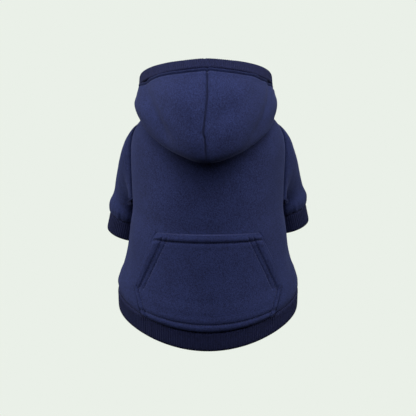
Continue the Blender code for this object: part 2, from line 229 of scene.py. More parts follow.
def read_curve(where, values, at, level_ends=False):
    """A smooth curve through the values, which doesn't overshoot them, read at each place asked."""
    where, values, at = np.asarray(where, float), np.asarray(values, float), np.asarray(at, float)
    step = np.diff(where)
    slope = np.diff(values) / step
    before, after = slope[:-1], slope[1:]
    weight_a, weight_b = 2 * step[1:] + step[:-1], step[1:] + 2 * step[:-1]
    turning = before * after <= 0
    safe_before, safe_after = np.where(turning, 1.0, before), np.where(turning, 1.0, after)
    inner = (weight_a + weight_b) / (weight_a / safe_before + weight_b / safe_after)
    ends = (0.0, 0.0) if level_ends else (slope[0], slope[-1])
    tangent = np.concatenate([[ends[0]], np.where(turning, 0.0, inner), [ends[1]]])
    clipped = np.clip(at, where[0], where[-1])
    i = np.clip(np.searchsorted(where, clipped, side="right") - 1, 0, len(step) - 1)
    t = (clipped - where[i]) / step[i]
    start, end = values[i], values[i + 1]
    lift, fall = tangent[i] * step[i], tangent[i + 1] * step[i]
    smooth = t * t * (3 - 2 * t)
    return start + (end - start) * smooth + lift * t * (1 - t) ** 2 - fall * t * t * (1 - t)


def read_table(rows, column, at, level_ends=False):
    """One named column of a table, read as a smooth curve along the table's first column."""
    return read_curve([row[0] for row in rows], [getattr(row, column) for row in rows], at, level_ends)


def mix(a, b, share):
    return a + (b - a) * share


def bump(distance, width):
    """A soft hill, 1 high where the distance is 0."""
    return np.exp(-((distance / width) ** 2))


def length_at(around):
    """The body's length from neck seam to hem seam: longest down the back, shortest down the belly."""
    lean = np.cos(np.radians(around))
    back, belly = BACK_LENGTH - SIDE_LENGTH, SIDE_LENGTH - BELLY_LENGTH
    return SIDE_LENGTH + np.where(lean > 0, back, belly) * (0.74 * lean + 0.26 * lean**3)


def body_height(around, along):
    """Z on the body. Above the neck seam, where along is negative, it goes on at the same rate."""
    return NECK_TILT / 2 * np.cos(np.radians(around)) - along * length_at(around)


def body_point(around, along, out=0.0):
    """The point that lies out from the body's outer face, as an array of x, y, z."""
    around, along, out = np.broadcast_arrays(*(np.asarray(v, float) for v in (around, along, out)))
    neck, chest, hem, forward = (read_table(BODY_SECTIONS, c, along) for c in BodySection._fields[1:])
    half_width = (neck * NECK_WIDTH + chest * CHEST_WIDTH + hem * HEM_WIDTH) / 2
    half_depth = (neck * NECK_DEPTH + chest * CHEST_DEPTH + hem * HEM_DEPTH) / 2
    angle = np.radians(around)
    away = np.stack([np.sin(angle) / half_width, -np.cos(angle) / half_depth], axis=-1)
    away /= np.linalg.norm(away, axis=-1, keepdims=True)
    x = half_width * np.sin(angle) + out * away[..., 0]
    y = forward * CHEST_DEPTH - half_depth * np.cos(angle) + out * away[..., 1]
    return np.stack([x, y, body_height(around, along)], axis=-1)


def along_at_height(around, z):
    """The along of the body's cloth at height z."""
    return (NECK_TILT / 2 * np.cos(np.radians(around)) - z) / length_at(around)


def around_at_distance(distance, along):
    """How many degrees round the body lies a distance measured on the cloth from the middle of the back."""
    steps = np.linspace(0, 180, 181)
    ring_points = body_point(steps, along)
    passed = np.concatenate([[0], np.cumsum(np.linalg.norm(np.diff(ring_points, axis=0), axis=1))])
    return np.sign(distance) * np.interp(np.abs(distance), passed, steps)


def body_normal(around, along):
    """The unit vector out of the cloth."""
    small_turn, small_step = 0.5, 0.005
    across = body_point(around + small_turn, along) - body_point(around - small_turn, along)
    down = body_point(around, along + small_step) - body_point(around, along - small_step)
    normal = np.cross(down, across)
    return normal / np.linalg.norm(normal, axis=-1, keepdims=True)


def unit(vectors):
    return vectors / np.linalg.norm(vectors, axis=-1, keepdims=True)


def faces_out(rows, is_round):
    """The unit vector out of the cloth at each point of a grid whose rows run down and columns round it."""
    down = np.gradient(rows, axis=0)
    if is_round:
        round_it = np.roll(rows, -1, axis=1) - np.roll(rows, 1, axis=1)
    else:
        round_it = np.gradient(rows, axis=1)
    return unit(np.cross(down, round_it))


def walked(rows, axis):
    """How far each point of a grid lies along the cloth from the grid's first row or column."""
    steps = np.linalg.norm(np.diff(rows, axis=axis), axis=-1)
    start = np.zeros_like(np.take(steps, [0], axis=axis))
    return np.concatenate([start, np.cumsum(steps, axis=axis)], axis=axis)


def unevenness(across, down, size):
    """The cloth's own slight waviness, between about -1 and 1, with waves about as long as size."""
    a, b = across / size, down / size
    waves = np.sin(2.1 * a + 0.9 * b + 0.3) + np.sin(-1.3 * a + 2.4 * b + 1.7)
    waves += 0.7 * np.sin(3.7 * a - 1.9 * b + 4.1) + 0.6 * np.sin(1.7 * a + 4.3 * b + 2.2)
    return waves / 3.3


def link(name, data, finish):
    """The piece in the scene, riding on the garment's one body."""
    data.shade_smooth()
    data.materials.append(finish)
    piece = bpy.data.objects.new(name, data)
    bpy.context.scene.collection.objects.link(piece)
    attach(piece, "root")
    return piece


def quads_over(height, width, first, is_round, flip):
    """The faces of a grid of points that are numbered row by row from first."""
    i, j = np.meshgrid(np.arange(height - 1), np.arange(width if is_round else width - 1), indexing="ij")
    j2 = (j + 1) % width
    corners = [i * width + j, (i + 1) * width + j, (i + 1) * width + j2, i * width + j2]
    faces = np.stack(corners, axis=-1).reshape(-1, 4) + first
    return faces[:, ::-1] if flip else faces


def edge_of_grid(height, width):
    """The points round the edge of a grid, in order."""
    top = [(0, j) for j in range(width)]
    right = [(i, width - 1) for i in range(1, height)]
    bottom = [(height - 1, j) for j in range(width - 2, -1, -1)]
    left = [(i, 0) for i in range(height - 2, 0, -1)]
    return np.array(top + right + bottom + left)


def sew_cloth(name, rows, thickness, finish, is_round=False):
    """Cloth with soft rounded edges, thicker where it is folded. The rows of points are its outer face."""
    height, width = rows.shape[:2]
    thickness = np.broadcast_to(thickness, (height, width))[..., None]
    out = faces_out(rows, is_round)
    inner = rows - out * thickness
    points = [rows.reshape(-1, 3), inner.reshape(-1, 3)]
    count = height * width
    faces = [quads_over(height, width, 0, is_round, False), quads_over(height, width, count, is_round, True)]
    middle = (rows + inner) / 2
    if is_round:
        for row, towards, flip in ((0, 1, False), (height - 1, height - 2, True)):
            rim = middle[row] + unit(middle[row] - middle[towards]) * thickness[row] * 0.45
            first = sum(len(p) for p in points)
            points.append(rim)
            ring = np.arange(width)
            after = (ring + 1) % width
            outer_ring, inner_ring = row * width, count + row * width
            near = np.stack([first + ring, outer_ring + ring, outer_ring + after, first + after], axis=1)
            far = np.stack([inner_ring + ring, first + ring, first + after, inner_ring + after], axis=1)
            faces += [near[:, ::-1], far[:, ::-1]] if flip else [near, far]
    else:
        edge = edge_of_grid(height, width)
        i, j = edge[:, 0], edge[:, 1]
        inside = middle[np.clip(i, 1, height - 2), np.clip(j, 1, width - 2)]
        rim = middle[i, j] + unit(middle[i, j] - inside) * thickness[i, j] * 0.45
        first = sum(len(p) for p in points)
        points.append(rim)
        here = np.arange(len(edge))
        after = (here + 1) % len(edge)
        outer_edge = i * width + j
        near = np.stack([outer_edge, outer_edge[after], first + after, first + here], axis=1)
        far = np.stack([first + here, first + after, count + outer_edge[after], count + outer_edge], axis=1)
        faces += [near, far]
    data = bpy.data.meshes.new(name)
    data.from_pydata(np.concatenate(points).tolist(), [], np.concatenate(faces).tolist())
    data.update()
    return link(name, data, finish)


def sew_stitches(name, lines, finish):
    """Thread showing on the cloth: one plump little stitch after another along each line of points."""
    sides, rings = 6, 5
    turn = np.linspace(0, 2 * math.pi, sides, endpoint=False)
    reach = np.linspace(-1, 1, rings)
    girth = np.sqrt(1.02 - reach**2)
    points, faces = [], []
    for line, out in lines:
        length = np.concatenate([[0], np.cumsum(np.linalg.norm(np.diff(line, axis=0), axis=1))])
        count = int(length[-1] / STITCH_PITCH)
        for k in range(count):
            at = (k + 0.5) * length[-1] / count
            ahead, behind = at + STITCH_LENGTH / 2, at - STITCH_LENGTH / 2
            middle = np.array([np.interp(at, length, line[:, c]) for c in range(3)])
            tip = np.array([np.interp(ahead, length, line[:, c]) for c in range(3)])
            tail = np.array([np.interp(behind, length, line[:, c]) for c in range(3)])
            up = unit(np.array([np.interp(at, length, out[:, c]) for c in range(3)]))
            run = unit(tip - tail)
            side = unit(np.cross(run, up))
            first = len(points)
            for r, g in zip(reach, girth):
                sink = up * THREAD * 0.5 * (0.2 - abs(r) ** 2)
                for t in turn:
                    point = middle + run * r * STITCH_LENGTH / 2 + sink
                    points.append(point + THREAD * g * (math.cos(t) * side + 0.8 * math.sin(t) * up))
            for r in range(rings - 1):
                for s in range(sides):
                    a, b = first + r * sides + s, first + r * sides + (s + 1) % sides
                    faces.append((a, b, b + sides, a + sides))
            faces.append(tuple(first + s for s in reversed(range(sides))))
            faces.append(tuple(first + (rings - 1) * sides + s for s in range(sides)))
    data = bpy.data.meshes.new(name)
    data.from_pydata([tuple(p) for p in points], [], faces)
    data.update()
    return link(name, data, finish)


def seam_allowance(name, line, out, finish, closed=False, shift=0.0):
    """The overlocked edges of a seam, pressed flat inside it: a padded strip under the line of points."""
    count, sides = len(line), 8
    run = np.roll(line, -1, axis=0) - np.roll(line, 1, axis=0) if closed else np.gradient(line, axis=0)
    across = unit(np.cross(unit(run), out))
    turn = np.linspace(0, 2 * math.pi, sides, endpoint=False)
    wide = np.sign(np.cos(turn)) * np.abs(np.cos(turn)) ** 0.6 * ALLOWANCE_WIDTH / 2
    high = np.sign(np.sin(turn)) * np.abs(np.sin(turn)) ** 0.8 * ALLOWANCE_THICKNESS / 2
    distance = np.concatenate([[0], np.cumsum(np.linalg.norm(np.diff(line, axis=0), axis=1))])
    loops = 0.2 * MM * np.sin(2 * math.pi * distance / OVERLOCK_PITCH)[:, None] * np.sign(high)[None, :]
    middle = line - out * ALLOWANCE_THICKNESS / 2 + across * shift
    grid = middle[:, None] + across[:, None] * wide[None, :, None] + out[:, None] * (high + loops)[..., None]
    i, j = np.meshgrid(np.arange(count if closed else count - 1), np.arange(sides), indexing="ij")
    i2, j2 = (i + 1) % count, (j + 1) % sides
    corners = [i * sides + j, i * sides + j2, i2 * sides + j2, i2 * sides + j]
    faces = np.stack(corners, axis=-1).reshape(-1, 4).tolist()
    if not closed:
        faces.append(list(range(sides))[::-1])
        faces.append([(count - 1) * sides + k for k in range(sides)])
    data = bpy.data.meshes.new(name)
    data.from_pydata(grid.reshape(-1, 3).tolist(), [], faces)
    data.update()
    return link(name, data, finish)


def inner_seams(overlock):
    """The allowances inside every seam, which are seen through the hem, the cuffs and the hood's mouth."""
    inside = -(CLOTH + 0.1 * MM)
    round_body = np.linspace(0, 360, 400, endpoint=False)
    neck = body_point(round_body, 0.0, inside)
    level = unit(body_point(round_body, 0.0, 1.0) - body_point(round_body, 0.0))
    sewn_on = [(seam_allowance("neck_seam_inside", neck, level, overlock, closed=True), "back_panel_cloth")]
    round_hem = np.linspace(0, 360, 700, endpoint=False)
    hem = body_point(round_hem, 1.0, inside)
    level = unit(body_point(round_hem, 1.0, 1.0) - body_point(round_hem, 1.0))
    strip = seam_allowance("hem_seam_inside", hem, level, overlock, closed=True, shift=2.6 * MM)
    sewn_on.append((strip, "hem_band_knit"))
    armpit = (ARMHOLE_TOP + ARMHOLE_HEIGHT) / SIDE_LENGTH
    for side, word in ((1, "right"), (-1, "left")):
        facing = np.array([side, 1.0, 1.0])
        along = np.linspace(armpit, 1.0, 120)
        line, out = body_point(SIDE_SEAM_AT, along, inside), body_normal(SIDE_SEAM_AT, along)
        strip = seam_allowance(f"{word}_side_seam_inside", line * facing, out * facing, overlock)
        sewn_on.append((strip, "belly_panel_cloth"))
        along = np.linspace(0.015, ARMHOLE_TOP / SIDE_LENGTH, 30)
        line, out = body_point(SIDE_SEAM_AT, along, inside), body_normal(SIDE_SEAM_AT, along)
        strip = seam_allowance(f"{word}_shoulder_seam_inside", line * facing, out * facing, overlock)
        sewn_on.append((strip, "belly_panel_cloth"))
        around, along = armhole_loop(270)
        line = body_point(around, along, inside)
        out = body_normal(around, along)
        strip = seam_allowance(f"{word}_armhole_seam_inside", line * facing, out * facing, overlock, closed=True)
        sewn_on.append((strip, f"{word}_sleeve_cloth"))
        middle, point, outer, front = sleeve_frame(side)
        radius = CUFF_WIDTH / 2 - 0.6 * CLOTH - 0.1 * MM
        line = ring(middle, outer, front, radius, 190)
        out = (line - middle) / radius
        line = line - point * 2.6 * MM
        strip = seam_allowance(f"{word}_cuff_seam_inside", line * facing, out * facing, overlock, closed=True)
        sewn_on.append((strip, f"{word}_cuff_knit"))
    shares = np.linspace(0.02, 0.985, 300)
    before, line, after = (hood_line(around, shares) for around in (-2.0, 0.0, 2.0))
    out = unit(np.cross(after - before, np.gradient(line, axis=0)))
    line[:, 0] += seam_wander(shares)
    sunk = CLOTH / 2 + 0.1 * MM + 1.6 * MM * np.clip((shares - 0.45) / 0.1, 0, 1)[:, None]
    strip = seam_allowance("hood_seam_inside", line - out * sunk, out, overlock)
    sewn_on.append((strip, "hood_left_panel_cloth"))
    lines = hood_lines(np.linspace(179, -179, 520), np.array([0.97, 1.0]))
    line, up = lines[:, 1], unit(lines[:, 1] - lines[:, 0])
    out = unit(np.cross(up, np.gradient(line, axis=0)))
    line = line - out * (CLOTH / 2 + 0.1 * MM) - up * 2.4 * MM
    sewn_on.append((seam_allowance("rim_seam_inside", line, out, overlock), "hood_rim_knit"))
    return sewn_on


def dented(dents, across, down, centre_of):
    """How far the cloth stands off its even shape for the dents of a table."""
    total = np.zeros_like(across)
    for dent in dents:
        middle_across, middle_down = centre_of(dent)
        total += dent.depth * bump(across - middle_across, dent.size_round) * bump(down - middle_down, dent.size_down)
    return total


def hem_seam_roll(up_from_seam, across):
    """Cloth gathered a little into the hem seam: it rolls over the seam and dips into it."""
    puckers = 0.22 * MM * np.sin(across / (4.1 * MM) + 1.5 * np.sin(across / (23 * MM)))
    roll = 0.9 * MM * bump(up_from_seam - 5.5 * MM, 4.5 * MM)
    dip = -1.1 * MM * bump(up_from_seam, 1.5 * MM)
    return roll + dip + puckers * bump(up_from_seam - 4 * MM, 7 * MM)


def side_seam_roll(from_seam):
    """Cloth beside a seam: a soft roll, and a ditch at the seam itself."""
    return 0.5 * MM * bump(from_seam - 4 * MM, 3 * MM) - 1.2 * MM * bump(from_seam, 1.3 * MM)


def body_rows(count):
    """Rows down the body, closer together where the neck flares and at the hem seam."""
    share = np.linspace(0, 1, count)
    return share + 0.05 * np.sin(2 * math.pi * share) * -1


def beside_pocket(around, height, across):
    """1 on a line on the back just outside the pocket's sides, falling to 0 away from it and above the pocket."""
    top = body_height(0, 1) + POCKET_HEIGHT
    share = (top - height) / (top - body_height(around, 1))
    half = np.interp(share, [0, POCKET_MOUTH_SHARE, 1], [POCKET_TOP_WIDTH / 2, POCKET_WIDTH / 2, POCKET_FOOT_WIDTH / 2])
    return bump(np.abs(across) - half - 2.5 * MM, 1.5 * MM) * np.clip(share / 0.04 + 0.5, 0, 1)


def back_panel(fleece):
    """The whole back, from side seam to side seam."""
    edge = SIDE_SEAM_AT - math.degrees(3 * SEAM_GAP / CHEST_WIDTH)
    around = np.linspace(-edge, edge, 190)[None, :]
    along = body_rows(190)[:, None]
    rows = body_point(around, along)
    down = walked(rows, 0)
    across = walked(rows, 1)
    from_left, from_right = across, across[:, -1:] - across
    across = across - across[:, -1:] / 2
    up_from_seam = down[-1:] - down

    def centre_of(dent):
        at = body_point(dent.around, dent.at)
        i, j = np.unravel_index(np.argmin(np.linalg.norm(rows - at, axis=-1)), down.shape)
        return across[i, j], down[i, j]

    relief = dented(BACK_DENTS, across, down, centre_of)
    relief += hem_seam_roll(up_from_seam, across) * (1 - 0.75 * bump(across, 75 * MM) ** 0.5)
    relief += side_seam_roll(np.minimum(from_left, from_right))
    relief -= POCKET_EDGE_DITCH * beside_pocket(around, rows[..., 2], across)
    relief += 0.35 * MM * unevenness(across, down, 30 * MM)
    rows = rows + faces_out(rows, False) * relief[..., None]
    piece = sew_cloth("back_panel_cloth", rows, CLOTH, fleece)
    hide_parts("back_panel")


def armhole_edge(along):
    """How far round the belly panel's edge lies: at the side seam, and further round beside the armhole."""
    top, height = ARMHOLE_TOP / SIDE_LENGTH, ARMHOLE_HEIGHT / SIDE_LENGTH
    reach = math.degrees(ARMHOLE_REACH / ((CHEST_WIDTH + CHEST_DEPTH) / 4))
    off_middle = np.clip((np.asarray(along, float) - top) / height * 2 - 1, -1, 1)
    return SIDE_SEAM_AT + reach * np.sqrt(1 - off_middle**2)


def belly_panel(fleece):
    """The belly, from side seam to side seam, cut away for the two armholes."""
    top, height = ARMHOLE_TOP / SIDE_LENGTH, ARMHOLE_HEIGHT / SIDE_LENGTH
    armhole = top + height * (1 - np.cos(np.linspace(0, math.pi, 60))) / 2
    along = np.concatenate([np.linspace(0, top, 16)[:-1], armhole, np.linspace(armhole[-1], 1, 66)[1:]])[:, None]
    edge = armhole_edge(along) + math.degrees(3 * SEAM_GAP / CHEST_WIDTH)
    around = mix(edge, 360 - edge, np.linspace(0, 1, 130)[None, :])
    rows = body_point(around, along)
    down = walked(rows, 0)
    across = walked(rows, 1)
    from_seam = np.minimum(across, across[:, -1:] - across)
    across = across - across[:, -1:] / 2
    relief = hem_seam_roll(down[-1:] - down, across) + side_seam_roll(from_seam)
    relief += 0.5 * MM * unevenness(across + 0.2, down, 27 * MM)
    strain = np.sin(across / (9 * MM)) * bump(along - 0.10, 0.07) * bump(np.abs(across) - 0.02, 0.03)
    relief += 0.6 * MM * strain
    rows = rows + faces_out(rows, False) * relief[..., None]
    piece = sew_cloth("belly_panel_cloth", rows, CLOTH, fleece)
    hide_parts("belly_panel")


def armhole_loop(count):
    """The right armhole as (around, along): from its top by the belly side to the armpit, then the side seam."""
    top, height = ARMHOLE_TOP / SIDE_LENGTH, ARMHOLE_HEIGHT / SIDE_LENGTH
    turn = np.linspace(0, 2 * math.pi, count, endpoint=False)
    along = top + height * (1 - np.cos(turn)) / 2
    return np.where(turn < math.pi, armhole_edge(along), SIDE_SEAM_AT), along


def sleeve_frame(side):
    """The cuff seam's middle, the way the sleeve points, and the two directions across it."""
    lift = RIGHT_SLEEVE_LIFT if side > 0 else 0.0
    middle = np.array([CUFF_SPREAD, CUFF_FORWARD, lift - CUFF_DROP])
    out, forward = math.tan(math.radians(SLEEVE_SWING_OUT)), math.tan(math.radians(SLEEVE_SWING_FORWARD))
    point = unit(np.array([out, forward, -1.0]))
    outer = unit(np.array([1.0, 0.0, 0.0]) - point[0] * point)
    return middle, point, outer, np.cross(outer, point)


def ring(middle, first, second, radius, count):
    turn = np.linspace(0, 2 * math.pi, count, endpoint=False)[:, None]
    return middle + radius * (np.cos(turn) * first + np.sin(turn) * second)


def mirror(rows, side):
    """The rows as they are for the right side, and mirrored with the same face out for the left."""
    return rows if side > 0 else (rows * np.array([-1.0, 1.0, 1.0]))[:, ::-1]


def sleeve(side, word, fleece):
    """A sleeve from the armhole to the cuff seam, bloused over the cuff."""
    count = 150
    around, along = armhole_loop(count)
    start = body_point(around, along) + body_normal(around, along) * 2 * SEAM_GAP
    inwards = start.mean(axis=0) - start
    start = start + inwards * (SEAM_GAP / np.linalg.norm(inwards, axis=1))[:, None]
    middle, point, outer, front = sleeve_frame(side)
    end = ring(middle, outer, front, CUFF_WIDTH / 2 + 0.4 * CLOTH, count)
    reach = np.linalg.norm(end - start, axis=1)[:, None]
    turn = np.linspace(0, 2 * math.pi, count, endpoint=False)
    armpit = (1 - np.cos(turn))[:, None] / 2
    away = mix(point, body_normal(around, along), mix(0.42, 0.60, armpit))
    leave, arrive = 0.40 * reach * away, 0.35 * reach * point
    shares = np.linspace(0, 1, 100)
    rows = []
    for t in shares:
        row = start * (1 - t) ** 3 + 3 * (start + leave) * t * (1 - t) ** 2
        row = row + 3 * (end - arrive) * t * t * (1 - t) + end * t**3
        blouse = SLEEVE_BLOUSE * math.exp(-(((t - 0.92) / 0.07) ** 2))
        rows.append(row + (row - row.mean(axis=0)) * blouse / (CUFF_WIDTH / 2))
    rows = np.array(rows)
    down = walked(rows, 0)
    up_from_cuff = down[-1:] - down
    gathers = 0.28 * MM * np.sin(17 * turn + side) + 0.2 * MM * np.sin(29 * turn + 1.3 * side)
    relief = gathers * bump(up_from_cuff - 4 * MM, 9 * MM) - 0.8 * MM * bump(up_from_cuff, 1.3 * MM)
    off_corner = 1 - bump(np.sin(turn), 0.3)[None, :]
    relief += (0.45 * MM * bump(down - 4 * MM, 3 * MM) - 0.6 * MM * bump(down, 1.4 * MM)) * off_corner
    for at, wide, high, depth, slant in ((3.4, 0.5, 0.10, -1.6, 0.16), (2.5, 0.6, 0.09, -1.4, -0.12), (4.3, 0.6, 0.12, 1.1, 0.1)):
        off = (turn - at + math.pi) % (2 * math.pi) - math.pi
        centre = 0.52 + slant * off
        relief += depth * MM * bump(off, wide)[None, :] * bump(shares[:, None] - centre[None, :], high)
    relief += 0.5 * MM * unevenness(turn[None, :] * 25 * MM, down + 0.03 * side, 22 * MM)
    rows = rows + faces_out(rows, True) * relief[..., None]
    piece = sew_cloth(f"{word}_sleeve_cloth", mirror(rows, side), CLOTH, fleece, is_round=True)
    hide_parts(f"{word}_sleeve")


def ribs(distance, pitch):
    """Knit ribs: rounded, with narrow valleys between, from 0 in a valley to 1 on a rib."""
    return np.abs(np.sin(math.pi * distance / pitch)) ** 0.7


def knit_band(name, seam, down, out, height, pitch, is_round, rib_knit, node, joint=False):
    """A rib band folded double, carried along the seam that it hangs from, with its ribs in relief."""
    down = np.broadcast_to(down, seam.shape)
    rounds = [(d, read_table(BAND_SECTIONS, "outer", d)) for d in np.linspace(0, 1, 19)]
    outer = [(float(d), float(o)) for d, o in rounds]
    inner = [(row.down, row.inner) for row in reversed(BAND_SECTIONS)]
    steps = np.linalg.norm(np.diff(seam, axis=0), axis=1)
    distance = np.concatenate([[0], np.cumsum(steps)])
    total = distance[-1] + (np.linalg.norm(seam[0] - seam[-1]) if is_round else 0.0)
    count = max(1, round(total / pitch))
    relief = ribs(distance, total / count)
    if joint:
        relief -= 1.2 * bump(distance - total / 2, 0.5 * MM)
    lines = []
    for d, o in outer + inner:
        face = 1.0 if o > 0 else -0.6
        ease = min(1.0, 0.35 + d / 0.12) * min(1.0, (1.0 - d) / 0.04 + 0.45)
        rise = (relief - 0.75) * RIB_RELIEF * ease * face
        lines.append(seam + down * (SEAM_GAP + d * height) + out * (RIB_CLOTH * (o - 0.5) + rise[:, None]))
    grid = np.array(lines)
    rows, columns = grid.shape[:2]
    points = grid.reshape(-1, 3)
    i, j = np.meshgrid(np.arange(rows), np.arange(columns if is_round else columns - 1), indexing="ij")
    i2, j2 = (i + 1) % rows, (j + 1) % columns
    corners = [i * columns + j, i2 * columns + j, i2 * columns + j2, i * columns + j2]
    faces = np.stack(corners, axis=-1).reshape(-1, 4).tolist()
    if not is_round:
        faces.append([r * columns for r in range(rows)][::-1])
        faces.append([r * columns + columns - 1 for r in range(rows)])
    data = bpy.data.meshes.new(name)
    data.from_pydata(points.tolist(), [], faces)
    data.update()
    piece = link(name, data, rib_knit)
    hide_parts(node)


def hem_band(rib_knit):
    around = np.linspace(0, 360, 1540, endpoint=False)
    seam = body_point(around, 1.0)
    out = body_point(around, 1.0, 1.0) - seam
    down = np.array([0.0, 0.0, -1.0])
    knit_band("hem_band_knit", seam + down * SEAM_GAP, down, out, HEM_BAND_HEIGHT, HEM_RIB, True, rib_knit, "hem_band")


def cuff(side, word, rib_knit):
    middle, point, outer, front = sleeve_frame(side)
    seam = ring(middle, outer, front, CUFF_WIDTH / 2, 448)
    mirrored = np.array([1.0 if side > 0 else -1.0, 1.0, 1.0])
    seam, middle, point = seam * mirrored, middle * mirrored, point * mirrored
    if side < 0:
        seam = seam[::-1]
    out = (seam - middle) / (CUFF_WIDTH / 2)
    knit_band(f"{word}_cuff_knit", seam, point, out, CUFF_HEIGHT, CUFF_RIB, True, rib_knit, f"{word}_cuff")


def hood_ring(row, around):
    """Where one of the hood's rings lies at one place round the neck."""
    angle = math.radians(around)
    height = float(read_table(HOOD_SECTIONS, row.name, abs(around), True)) * HOOD_HEIGHT
    depth = row.back * HOOD_BACK if math.cos(angle) > 0 else row.front * NECK_DEPTH / 2
    return np.array([row.width * HOOD_WIDTH / 2 * math.sin(angle), -depth * math.cos(angle), height])


def smooth_line(points, shares):
    """A smooth line through the points, read at shares of its length."""
    gaps = np.sqrt(np.linalg.norm(np.diff(points, axis=0), axis=1))
    where = np.concatenate([[0], np.cumsum(gaps)])
    where = np.concatenate([[-gaps[0]], where, [where[-1] + gaps[-1]]])
    padded = np.vstack([2 * points[0] - points[1], points, 2 * points[-1] - points[-2]])
    fine = []
    for i in range(1, len(padded) - 2):
        t = np.linspace(where[i], where[i + 1], 24, endpoint=False)[:, None]
        knots, line = where[i - 1 : i + 3], padded[i - 1 : i + 3]
        first = [mix(line[k], line[k + 1], (t - knots[k]) / (knots[k + 1] - knots[k])) for k in range(3)]
        second = [mix(first[k], first[k + 1], (t - knots[k]) / (knots[k + 2] - knots[k])) for k in range(2)]
        fine.append(mix(second[0], second[1], (t - knots[1]) / (knots[2] - knots[1])))
    fine = np.vstack([*fine, points[-1:]])
    length = np.concatenate([[0], np.cumsum(np.linalg.norm(np.diff(fine, axis=0), axis=1))])
    return np.stack([np.interp(shares * length[-1], length, fine[:, k]) for k in range(3)], axis=1)


def lying_on_back(around, height):
    """The middle of cloth that lies on the body at one height."""
    along = along_at_height(around, height)
    return body_point(around, along) + body_normal(around, along) * (HOOD_CLEARANCE + CLOTH / 2)


def hood_line(around, shares):
    """The middle of the hood's cloth at one place round the neck, from the neck seam to the rim seam."""
    slack = float(read_table(HOOD_SECTIONS, "slack", abs(around), True))
    fold, *outer = (hood_ring(row, around) for row in HOOD_RINGS)
    seam = body_point(around, 0.0, -CLOTH / 2) + [0, 0, 3 * SEAM_GAP]
    crest = body_point(around, 0.0) + [0, 0, HOOD_CREST]
    under = [lying_on_back(around, z) for z in mix(seam[2], fold[2], np.array([0.15, 0.50, 0.85]))]
    bottom = mix(lying_on_back(around, fold[2]), fold, 0.45)
    fold = fold + [0, 0, 0.14 * (outer[0][2] - fold[2])]
    folded = np.array([seam, crest, *under, bottom, fold, *outer])
    up = np.linspace(0, 1, len(folded))[:, None]
    straight = mix(folded[0], folded[-1], np.hstack([up**1.8, up**1.8, up]))
    line = smooth_line(mix(straight, folded, slack), shares)
    loose = np.interp(shares, [0.4, 0.7], [0, slack])
    line[:, 2] += loose * line[:, 0] * math.tan(math.radians(HOOD_TURN))
    line[:, 0] -= loose * HOOD_SHIFT
    return line


def hood_lines(around, shares):
    """The hood's lines at many places round the neck, read between lines that lie 1.5 degrees apart."""
    wide = np.linspace(-180, 180, 241)
    lines = np.array([hood_line(a, shares) for a in wide])
    flat = lines.reshape(len(wide), -1)
    read = np.stack([np.interp(around, wide, flat[:, k]) for k in range(flat.shape[1])], axis=1)
    return read.reshape(len(around), len(shares), 3)


def hood_columns(count):
    """Places round the neck, closer together beside the centre seam."""
    share = np.linspace(0, 1, count)
    return 180 * (0.2 * share + 0.8 * share**2)


def seam_wander(shares):
    """How far to the right the hood's centre seam lies, at shares of the way from the neck seam to the rim."""
    return read_table(CENTRE_SEAM, "right", shares) * np.clip((shares - 0.42) / 0.06, 0, 1)


def hood_panel(side, word, fleece):
    """Half of the hood, from the centre seam round to the throat. Its columns run up the cloth to the rim."""
    columns = hood_columns(165)
    shares = np.concatenate([np.linspace(0, 0.925, 120), np.linspace(0.925, 1, 42)[1:]])
    middle = np.array([hood_line(side * around, shares) for around in columns]).transpose(1, 0, 2)
    if side < 0:
        middle = middle[:, ::-1]
    centre = 0 if side > 0 else -1
    throat = -1 if side > 0 else 0
    from_centre = walked(middle, 1)
    if side < 0:
        from_centre = from_centre[:, -1:] - from_centre
    up = walked(middle, 0)
    below_rim = up[-1:] - up
    middle[..., 0] += seam_wander(shares)[:, None] * bump(from_centre, 14 * MM)
    middle[:, centre, 0] += side * HOOD_SEAM_GAP
    middle[:, throat, 0] = side * HOOD_SEAM_GAP
    outwards = -faces_out(middle, False)
    share_grid = shares[:, None] * np.ones_like(from_centre)
    relief = np.zeros_like(from_centre)
    for dent in HOOD_DENTS:
        if dent.around * side > 0:
            i = int(np.argmin(np.abs(shares - dent.at)))
            j = int(np.argmin(np.abs(columns - abs(dent.around))))
            j = j if side > 0 else len(columns) - 1 - j
            relief += dent.depth * bump(from_centre - from_centre[i, j], dent.size_round) * bump(up - up[i, j], dent.size_down)
    outer_layer = np.clip((share_grid - 0.45) / 0.1, 0, 1)
    puckers = 0.25 * MM * np.sin(up / (2.6 * MM) + side) * bump(from_centre - 2.5 * MM, 4 * MM)
    ditch = -2.4 * MM * bump(from_centre, 0.9 * MM) * (1 - bump(below_rim, 2.5 * MM))
    seam = 0.7 * MM * bump(from_centre - 4.0 * MM, 2.8 * MM) + ditch
    stitch_groove = -1.9 * MM * bump(below_rim - HOOD_STITCH, 0.8 * MM)
    puff = 1.1 * MM * bump(below_rim - 0.55 * HOOD_STITCH, 1.1 * MM)
    puff += 0.5 * MM * bump(below_rim - HOOD_STITCH - 3.4 * MM, 2.4 * MM)
    rim_seam = -1.5 * MM * bump(below_rim - 0.4 * MM, 0.9 * MM)
    relief += outer_layer * (puckers + seam + 0.4 * MM * unevenness(from_centre + 0.1 * side, up, 20 * MM))
    relief += stitch_groove + puff + rim_seam
    middle = middle + outwards * relief[..., None]
    outer = middle + outwards * CLOTH / 2
    piece = sew_cloth(f"hood_{word}_panel_cloth", outer[::-1], CLOTH, fleece)
    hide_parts(f"hood_{word}_panel")
    groove = int(np.argmin(np.abs(below_rim[:, len(columns) // 3] - HOOD_STITCH)))
    line = np.array([outer[int(np.argmin(np.abs(below_rim[:, j] - HOOD_STITCH))), j] for j in range(len(columns))])
    return line, outwards[groove]


